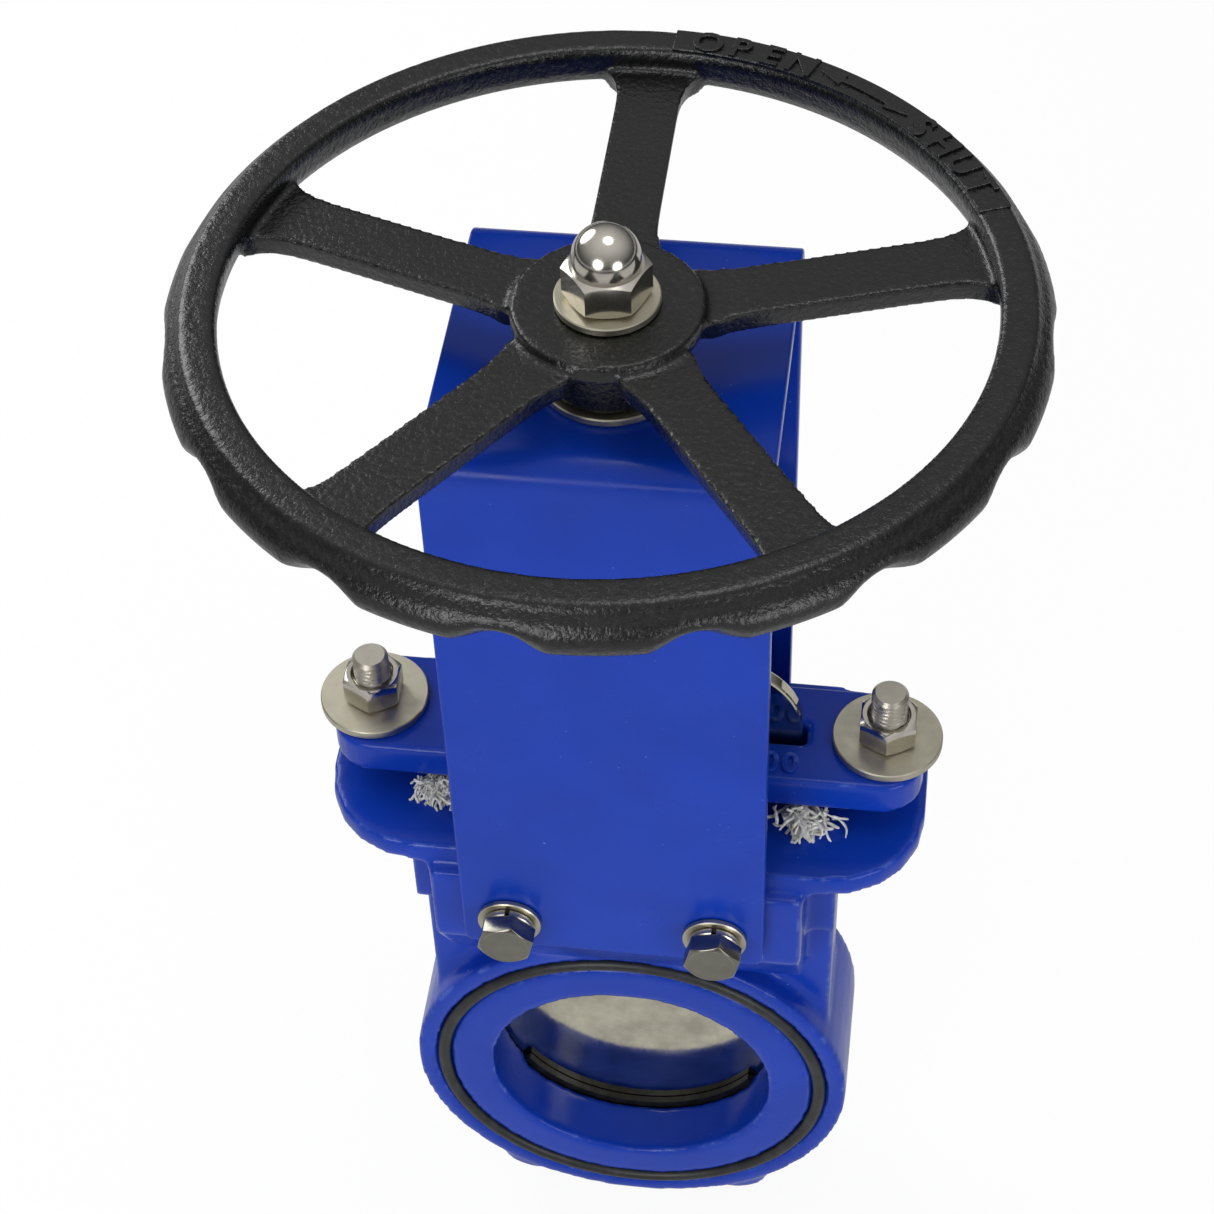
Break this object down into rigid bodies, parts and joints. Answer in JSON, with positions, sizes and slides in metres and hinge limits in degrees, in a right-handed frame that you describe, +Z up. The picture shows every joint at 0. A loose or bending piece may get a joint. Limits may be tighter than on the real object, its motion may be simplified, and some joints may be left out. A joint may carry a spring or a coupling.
{
  "type": "knife gate valve",
  "caption": "Wafer knife gate valve: a handwheel turns a fixed-height screw that lifts a flat steel gate across a round bore.",
  "frame": {"origin": "centre of the bore, on the middle plane of the gate", "axes": "+Z up the stem towards the handwheel, +Y along the bore away from the front face, +X to the right seen from the front"},
  "size_m": [0.248, 0.248, 0.4771],
  "materials": {
    "blue_paint": "gloss enamel on cast iron and plate",
    "black_iron": "satin black enamel on rough cast iron",
    "stainless": "turned and rolled stainless steel",
    "gate_steel": "ground stainless plate",
    "brass": "machined brass",
    "rubber": "black moulded rubber",
    "packing": "plaited white fibre"
  },
  "bodies": {
    "valve": {"valve_body": "blue_paint", "seat_seal": "rubber", "face_seal_front": "rubber", "face_seal_rear": "rubber", "packing_ring_1": "packing", "packing_ring_2": "packing", "packing_ring_3": "packing", "packing_ring_4": "packing", "gland": "blue_paint", "gland_stud_left": "stainless", "gland_stud_right": "stainless", "gland_washer_left": "stainless", "gland_washer_right": "stainless", "gland_nut_left": "stainless", "gland_nut_right": "stainless", "yoke": "blue_paint", "yoke_bolt_front_left": "stainless", "yoke_bolt_front_right": "stainless", "yoke_bolt_rear_left": "stainless", "yoke_bolt_rear_right": "stainless", "yoke_washer_front_left": "stainless", "yoke_washer_front_right": "stainless", "yoke_washer_rear_left": "stainless", "yoke_washer_rear_right": "stainless", "yoke_spring_washer_front_left": "stainless", "yoke_spring_washer_front_right": "stainless", "yoke_spring_washer_rear_left": "stainless", "yoke_spring_washer_rear_right": "stainless", "stem_bush": "brass", "thrust_washer": "stainless"},
    "wheel": {"handwheel": "black_iron", "stem": "stainless", "wheel_key": "stainless", "wheel_washer": "stainless", "cap_nut": "stainless"},
    "knife": {"gate": "gate_steel", "stem_nut": "brass", "nut_screw_left": "stainless", "nut_screw_right": "stainless", "nut_screw_nut_left": "stainless", "nut_screw_nut_right": "stainless"}
  },
  "joints": [
    {"name": "wheel_turn", "type": "hinge", "parent": "valve", "child": "wheel", "pos_m": [0, -0.014, 0.36], "axis": [0, 0, 1], "range_deg": [0, 9765]},
    {"name": "gate_lift", "type": "slide", "parent": "valve", "child": "knife", "axis": [0, 0, 1], "range_m": [0, 0.1086]}
  ],
  "couplings": [
    {"joint": "gate_lift", "follows": "wheel_turn", "m_per_rad": 0.00063662}
  ]
}
